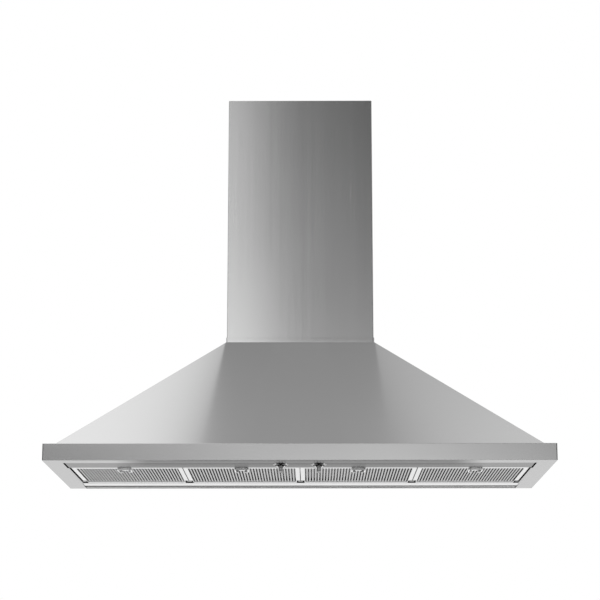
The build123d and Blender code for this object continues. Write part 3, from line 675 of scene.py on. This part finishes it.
def upper_row(number, first, count, middle_y, z):
    """The row that closes the slots; its faces that look down take a darker copy of the steel as painted
    shade, and the faces that look up are satin.
    """
    upper = row_of_channels(upper_channel, first, count, middle_y, z)
    finish_edges(upper, angle=smooth_below)
    upper.name = f"upper_baffles_{number}"
    dress(upper, f"baffle_pack_{number}", upper_baffle_painted_shade)
    upper.data.materials.append(baffle_steel)
    # Downward faces keep the darker copy, which is painted shade.
    for face in upper.data.polygons:
        face.material_index = int(face.normal.z > 0.1)


def baffles(number):
    """Both rows of one filter; the lower one is joined with its end strips and the handle's mount."""
    low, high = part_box(f"baffle_pack_{number}")
    handle_low, handle_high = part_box(f"filter_handle_{number}")
    handle_x = (handle_low.x + handle_high.x) / 2
    middle = (low + high) / 2
    bottom, inner = high.z - pack_depth, high.x - low.x
    count = int(inner / slat_pitch)
    first = middle.x - (count - 1) * slat_pitch / 2
    lower = row_of_channels(lower_channel, first, count, middle.y, bottom + lower_height / 2)
    upper_row(number, first - slat_pitch / 2, count + 1, middle.y, high.z - upper_height / 2)
    strip_size = (inner, slat_end / 2, high.z - bottom - strip_lift)
    strips = [block(strip_size, (middle.x, y, (bottom + high.z + strip_lift) / 2), strip_edge)
              for y in (low.y + slat_end / 2, high.y - slat_end / 2)]
    mount = copy_of(handle_mount, (handle_x, handle_high.y - pivot_inset, 0))
    join([lower, *strips, mount])
    lower.name = f"baffles_{number}"
    finish_edges(lower, angle=smooth_below)
    dress(lower, f"baffle_pack_{number}")
    lower.data.materials.append(rail_steel)
    for face in lower.data.polygons:
        off_middle = abs(face.center.x - handle_x)
        face.material_index = int(off_middle < mount_reach and face.center.z < mount_top)
    return lower


for number in range(1, 5):
    made = baffles(number)
    print(made.name, len(made.data.polygons), "faces")
for model in (lower_channel, upper_channel, handle_mount):
    bpy.data.objects.remove(model)

# %% [markdown]
# Knobs
#
# A knob is a tapered skirt, a cone that rounds off as it narrows, and a straight grip. The skirt and the
# grip's cheeks are black, a painted dark reflection of the room they face. It starts as a cylinder: the
# face below is drawn down and in again and again along a curve between a line and a parabola, which
# makes the cone, and the face above is inset and pushed in for the nut. The grip is a cube with its
# upright edges beveled round and its end drawn out into a thin flared band. One knob is modelled, and
# each place gets a copy.

# %% Skirt and cone, round the origin
def lower_face(limit):
    """Chooses the downward faces below a height."""
    return lambda face, middle: face.normal.z < -0.99 and middle.z < limit


skirt, cone = 4.0 * MM, 7.4 * MM
neck, cone_end = 12.3 * MM, 5.5 * MM
cone_steps = 8
straight = 0.65
nut_radius, nut_depth = 9.0 * MM, 2.2 * MM


def turned_part(radius, top):
    """The skirt and the cone, with the recess for the nut above."""
    bpy.ops.mesh.primitive_cylinder_add(vertices=72, radius=radius, depth=skirt,
                                        location=(0, 0, top - skirt / 2))
    knob = settle(bpy.context.object)
    edit(knob)
    pick(knob, lower_face(top - skirt / 2))
    bpy.ops.transform.resize(value=(neck / radius, neck / radius, 1))
    last = neck
    for step in range(1, cone_steps + 1):
        along = step / cone_steps
        wanted = neck - (neck - cone_end) * along * (straight + (1 - straight) * along)
        pick(knob, lower_face(top - skirt - cone * (step - 1.5) / cone_steps))
        bpy.ops.mesh.extrude_region_move(TRANSFORM_OT_translate={"value": (0, 0, -cone / cone_steps)})
        bpy.ops.transform.resize(value=(wanted / last, wanted / last, 1))
        last = wanted
    pick(knob, lambda face, middle: face.normal.z > 0.99)
    bpy.ops.mesh.inset(thickness=radius - nut_radius)
    bpy.ops.mesh.extrude_region_move(TRANSFORM_OT_translate={"value": (0, 0, -nut_depth)})
    leave_edit()
    return knob


# %% The grip
grip_half, grip_length = 4.7 * MM, 25.0 * MM
grip_rounding = 3.2 * MM
band, band_step = 1.7 * MM, 0.5 * MM
band_growth = (1.12, 1.05, 1)


def grip_part(top, bottom):
    """A flat grip, its ends round and its lower end a band a little wider than the rest."""
    bpy.ops.mesh.primitive_cube_add(size=1, location=(0, 0, (top + bottom) / 2))
    grip = bpy.context.object
    grip.scale = (2 * grip_half, grip_length, top - bottom)
    settle(grip)
    edit(grip)
    pick(grip, lambda edge, middle: abs(middle.x) > grip_half * 0.9 and abs(middle.y) > grip_length * 0.45,
         "EDGE")
    bpy.ops.mesh.bevel(offset=grip_rounding, segments=5, affect="EDGES")
    pick(grip, lower_face(0))
    bpy.ops.transform.translate(value=(0, 0, band + band_step))
    bpy.ops.mesh.extrude_region_move(TRANSFORM_OT_translate={"value": (0, 0, -band_step)})
    bpy.ops.transform.resize(value=band_growth)
    bpy.ops.mesh.extrude_region_move(TRANSFORM_OT_translate={"value": (0, 0, -band)})
    leave_edit()
    return grip


# %% Join the two, and set a copy in each place
knob_edge, knob_angle = 0.35 * MM, 28
cheek_from, cheek_lift = grip_half * 0.55, 0.4 * MM
knob_low, knob_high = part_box("knob_right")
skirt_bottom = knob_high.z - skirt
cheek_top, cheek_bottom = skirt_bottom - cone, knob_low.z + band + band_step + cheek_lift
turned = turned_part((knob_high.x - knob_low.x) / 2, knob_high.z)
knob_model = join([turned, grip_part(skirt_bottom, knob_low.z)])
finish_edges(knob_model, knob_edge, segments=3, angle=knob_angle)


def knob_piece(side):
    """One knob; its skirt and the grip's cheeks are black, a painted dark reflection."""
    low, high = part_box(f"knob_{side}")
    x, y = (low.x + high.x) / 2, (low.y + high.y) / 2
    knob = copy_of(knob_model, (x, y, 0))
    knob.name = f"knob_{side}_turned"
    dress(knob, f"knob_{side}")
    knob.data.materials.append(knob_painted_reflection)
    # Skirt and cheek faces take the black: painted dark reflection.
    for face in knob.data.polygons:
        on_cheek = abs(face.center.x - x) > cheek_from and cheek_bottom < face.center.z < cheek_top
        face.material_index = int(on_cheek or face.center.z > skirt_bottom)
    return knob


for side in ("left", "right"):
    made = knob_piece(side)
    print(made.name, len(made.data.polygons), "faces, lowest point",
          round(min(v.co.z for v in made.data.vertices) / MM, 2), "mm")
bpy.data.objects.remove(knob_model)

# %% [markdown]
# Floor and background
#
# The hood hangs a metre and a half above the floor. The picture's white ground comes from what the
# camera sees of the floor and the world, and not from more light on the hood. Reflections see a floor of
# their own: pale in front of the hood, dark below it and white again behind it, which is what the flat
# underside mirrors. A real studio does the same with a white table and a black cloth.

# %% Floor
def soft_step(maker, value, low, high):
    """Rises smoothly from 0 at low to 1 at high."""
    return maker.node("ShaderNodeMapRange", {"interpolation_type": "SMOOTHSTEP"},
                      {"Value": value, "From Min": low, "From Max": high})


floor_z = -1.5
camera_white = 0.8
dark_below = 0.02
backdrop_from, backdrop_to = -0.7, 0.6
dark_from, dark_to = -1.3, -0.9
bpy.ops.mesh.primitive_plane_add(size=60, location=(0, 0, floor_z))
floor = bpy.context.object
floor.name = "studio_floor"
floor_material = bpy.data.materials.new("pale_studio_floor")
floor_material.use_nodes = True
floor_maker = Maker(floor_material.node_tree)
floor_tree = floor_material.node_tree
floor_tree.nodes.remove(floor_tree.nodes["Principled BSDF"])
mottle = floor_maker.noise((1.3, 1.3, 1.3), detail=3.0)
pale = floor_maker.mix_colour(mottle, shade(0.84), shade(0.9))
matt = floor_maker.node("ShaderNodeBsdfDiffuse", None, {"Color": pale})
white = floor_maker.node("ShaderNodeEmission", None, {"Color": (1, 1, 1, 1)})
seen_by_camera, seen_in_gloss, seen_through_glass = (
    floor_maker.node("ShaderNodeLightPath", output=kind)
    for kind in ("Is Camera Ray", "Is Glossy Ray", "Is Transmission Ray"))
place_y = floor_maker.node("ShaderNodeSeparateXYZ", None,
                           {"Vector": floor_maker.node("ShaderNodeTexCoord", output="Object")}, output="Y")
backdrop = soft_step(floor_maker, place_y, backdrop_from, backdrop_to)
beyond_dark = soft_step(floor_maker, place_y, dark_from, dark_to)
mirrored = seen_in_gloss + seen_through_glass
brightness = seen_by_camera + mirrored * (dark_below + (1 - dark_below) * backdrop)
floor_tree.links.new(brightness.socket, white.socket.node.inputs["Strength"])
whitened = seen_by_camera * camera_white + mirrored * beyond_dark
floor_mix = floor_maker.node("ShaderNodeMixShader", None, {0: whitened, 1: matt, 2: white})
floor_tree.links.new(floor_mix.socket, floor_tree.nodes["Material Output"].inputs["Surface"])
floor.data.materials.append(floor_material)
print("floor at", floor_z)

# %% [markdown]
# World
#
# The camera sees white. The metal sees a room: a white wall behind the hood, and in front of it a dim
# room with a lit strip along the horizon, a paler ceiling and faint side walls. The strip is brightest a
# little right of the middle, and that gives the lip its soft highlight. A picture of a real room would
# do the same, but these few steps can be set one by one.

# %% World: white to the camera, a dim room in front of the hood and a white backdrop behind it
world = bpy.data.worlds.new("studio")
bpy.context.scene.world = world
world.use_nodes = True
sky = Maker(world.node_tree)
world_background = world.node_tree.nodes["Background"]
toward = sky.node("ShaderNodeTexCoord", output="Generated")
aside, back, up = (sky.node("ShaderNodeSeparateXYZ", None, {"Vector": toward}, output=axis)
                   for axis in "XYZ")
dim, strip_glow, highlight = 0.045, 0.415, 1.0
ceiling_glow, ceiling_dip, wall_glow = 0.41, 0.075, 0.22
behind = soft_step(sky, back, -0.05, 0.3)
strip = 1 - soft_step(sky, up, 0.1, 0.26)
bright_band = soft_step(sky, aside, -0.16, 0.05) * (1 - soft_step(sky, aside, 0.04, 0.19) * 0.95)
ceiling = soft_step(sky, up, 0.45, 0.75)
side_walls = soft_step(sky, aside * aside, 0.14, 0.36) * (1 - strip)
overhead = ceiling_glow - soft_step(sky, back, -0.21, -0.165) * ceiling_dip
room = (dim + strip * (strip_glow + bright_band * highlight) + ceiling * overhead
        + side_walls * (1 - ceiling) * wall_glow)
around = room + (1 - room) * behind
camera_sees = sky.node("ShaderNodeLightPath", output="Is Camera Ray")
world_colour = sky.mix_colour(camera_sees, around, (1, 1, 1, 1))
world.node_tree.links.new(world_colour.socket, world_background.inputs["Color"])
world_background.inputs["Strength"].default_value = 1.0
print("world ready")

# %% [markdown]
# Soft panels
#
# The chimney's front mirrors what stands in front of it, at about a quarter more than its own size. Two
# panels stand to its left, the lower one brighter, and their right edges end in front of it, so that it
# goes from pale on the left to dark on the right. A third, faint one lifts the middle.

# %% Area lights
panel_y = -1.4


def panel(name, x, z, size, radiance):
    """An area light of a given brightness that faces the wall, hidden from the camera."""
    bpy.ops.object.light_add(type="AREA", location=(x, panel_y, z))
    lamp = bpy.context.object
    lamp.name = name
    lamp.data.shape = "RECTANGLE"
    lamp.data.size, lamp.data.size_y = size
    lamp.data.energy = radiance * pi * size[0] * size[1]
    lamp.rotation_euler = Vector((0, -panel_y, 0)).to_track_quat("-Z", "Y").to_euler()
    lamp.visible_camera = False
    print(name, "radiance", radiance, "power", round(lamp.data.energy, 2))


panel("panel_chimney", -0.80, 1.05, (1.3, 1.1), 0.79)
panel("panel_chimney_low", -0.77, 0.55, (1.3, 0.55), 1.08)
panel("panel_chimney_fill", 0.03, 1.2, (0.28, 0.8), 0.09)

# %% [markdown]
# Cards that only reflections see
#
# Polished metal is lit by what it mirrors, so a photographer hangs cards just outside the picture. Here
# each card is a plane that glows on one side and is hidden from the camera, from matt surfaces and from
# shadows. One leans out on each side of the chimney and gives the canopy's front its two straight
# lines. One hangs under the fascia, grey in the middle, paler towards its top and white at its ends. A
# dark one at each end of the lip gives its corner a thin dark line, and a dark one under the knobs
# blackens the faces that look down at it.

# %% A card, and a little vector maths for its glow
dark_glow = 0.03


def card(name, place, turn, size):
    """A one-sided glowing sheet; gives back its maker and its Emission node."""
    bpy.ops.mesh.primitive_plane_add(size=1, location=place, rotation=turn)
    sheet = bpy.context.object
    sheet.name = name
    sheet.scale = (*size, 1)
    settle(sheet)
    material = bpy.data.materials.new(name)
    material.use_nodes = True
    maker = Maker(material.node_tree)
    tree = material.node_tree
    tree.nodes.remove(tree.nodes["Principled BSDF"])
    glow = maker.node("ShaderNodeEmission", None, {"Color": (1, 1, 1, 1), "Strength": dark_glow})
    clear = maker.node("ShaderNodeBsdfTransparent", None, {"Color": (1, 1, 1, 1)})
    from_behind = maker.node("ShaderNodeNewGeometry", output="Backfacing")
    one_sided = maker.node("ShaderNodeMixShader", None, {0: from_behind, 1: glow, 2: clear})
    tree.links.new(one_sided.socket, tree.nodes["Material Output"].inputs["Surface"])
    sheet.data.materials.append(material)
    sheet.visible_camera = False
    sheet.visible_shadow = False
    sheet.visible_diffuse = False
    sheet.visible_transmission = False
    return maker, glow.socket.node


def set_glow(maker, emission, strength):
    maker.tree.links.new(strength.socket, emission.inputs["Strength"])


def dot(maker, place, direction):
    return maker.node("ShaderNodeVectorMath", {"operation": "DOT_PRODUCT"}, {0: place, 1: direction},
                      output="Value")


def exponent(maker, value):
    return maker.node("ShaderNodeMath", {"operation": "EXPONENT"}, {0: value})


def between(along, ends):
    """Goes evenly from the first of two numbers to the second as along goes from 0 to 1."""
    return ends[0] + (ends[1] - ends[0]) * along


# %% The two cards beside the chimney, each with a straight inner edge that fans outward
card_width, card_height, tucked_in = 1.4, 1.5, 0.12
forward, upright = 0.5, 0.866
fading_height = 0.75
foot_x, foot_y, foot_z = 0.184, -0.283, 0.34
edge_width = 0.004
inward_fading = 28.0
centre_glow = (0.38, 0.455)


def slope_card(side, fan, inner, edge, far, reach):
    """One card. Pairs are its values at the foot and at the top of the fading.

    Edge is the glow just outside its line, far the glow a long way off, and reach how fast one
    goes over into the other. Inner is a faint glow on the canopy's middle side of the line."""
    lean = Vector((side * sin(fan), -forward * cos(fan), upright * cos(fan)))
    across = Vector((side * cos(fan), forward * sin(fan), -upright * sin(fan)))
    facing = Vector((0, -upright, -forward))
    foot = Vector((side * foot_x, foot_y, foot_z))
    middle = foot + lean * card_height / 2 + across * (card_width / 2 - tucked_in)
    turn = Matrix((across * side, facing.cross(across * side), facing)).transposed()
    maker, emission = card(f"slope_card_{side}", middle, turn.to_euler(), (card_width, card_height))
    where = maker.node("ShaderNodeTexCoord", output="Object")
    height = maker.node("ShaderNodeMapRange", None,
                        {"Value": dot(maker, where, lean) - lean.dot(foot), "From Min": 0.0,
                         "From Max": fading_height})
    off_edge = dot(maker, where, across) - across.dot(foot)
    outside = soft_step(maker, off_edge, 0.0, edge_width)
    fading = exponent(maker, 0 - off_edge / between(height, reach))
    near_glow, far_glow = between(height, edge), between(height, far)
    outer_glow = far_glow + (near_glow - far_glow) * fading
    inner_glow = inner * height * exponent(maker, off_edge * inward_fading)
    set_glow(maker, emission,
             between(height, centre_glow) + inner_glow + (outer_glow - inner_glow) * outside)


slope_card(-1, radians(7.3), 0.12, edge=(0.36, 0.22), far=(0.82, 0.82), reach=(0.085, 0.12))
slope_card(1, radians(4.9), 0.06, edge=(0.18, 0.05), far=(0.27, 0.45), reach=(0.05, 0.22))

# %% The card under the fascia
under_grey, under_rise = 0.32, 0.46
maker, emission = card("under_card", (0, -0.33, -0.045), (radians(90), 0, 0), (1.1, 0.078))
where = maker.node("ShaderNodeTexCoord", output="Object")
card_x, card_z = (maker.node("ShaderNodeSeparateXYZ", None, {"Vector": where}, output=axis)
                  for axis in "XZ")
ends = soft_step(maker, card_x * card_x, 0.13, 0.21)
grey = under_grey + soft_step(maker, card_z, -0.025, -0.013) * under_rise
set_glow(maker, emission, grey + (1 - grey) * ends)
print("card under the fascia hung")

# %% The dark cards
end_x, end_y, end_z = 0.667, -0.547, 0.03
end_turn, end_size = radians(124.8), (0.115, 0.12)
near_black = 0.01
for side in (-1, 1):
    card(f"end_card_{side}", (side * end_x, end_y, end_z), (radians(90), 0, -side * end_turn), end_size)
maker, emission = card("knob_card", (0, -0.495, -0.06), (0, 0, 0), (0.6, 0.11))
emission.inputs["Strength"].default_value = near_black
print("dark cards hung")

# %% [markdown]
# Camera
#
# The picture looks up at the hood from well below its lip, a little right of its middle and turned a
# touch to the left. The lens, place and tilt come from lining up the lip's corners, the canopy's
# corners and the chimney's edges. A small vertical shift keeps the object where the frame has it.

# %% Camera
camera_data = bpy.data.cameras.new("camera")
camera = bpy.data.objects.new("camera", camera_data)
bpy.context.scene.collection.objects.link(camera)
looks_up, turned_left = 11.697, 0.384
camera.location = (28.13 * MM, -4557.02 * MM, -602.24 * MM)
camera.rotation_euler = (radians(90 + looks_up), 0, radians(turned_left))
camera_data.sensor_width = 36
camera_data.lens = 105.73
camera_data.shift_y = 0.10
camera_data.clip_end = 200
bpy.context.scene.camera = camera
bpy.context.scene.view_settings.view_transform = "Standard"
print("lens", camera_data.lens)
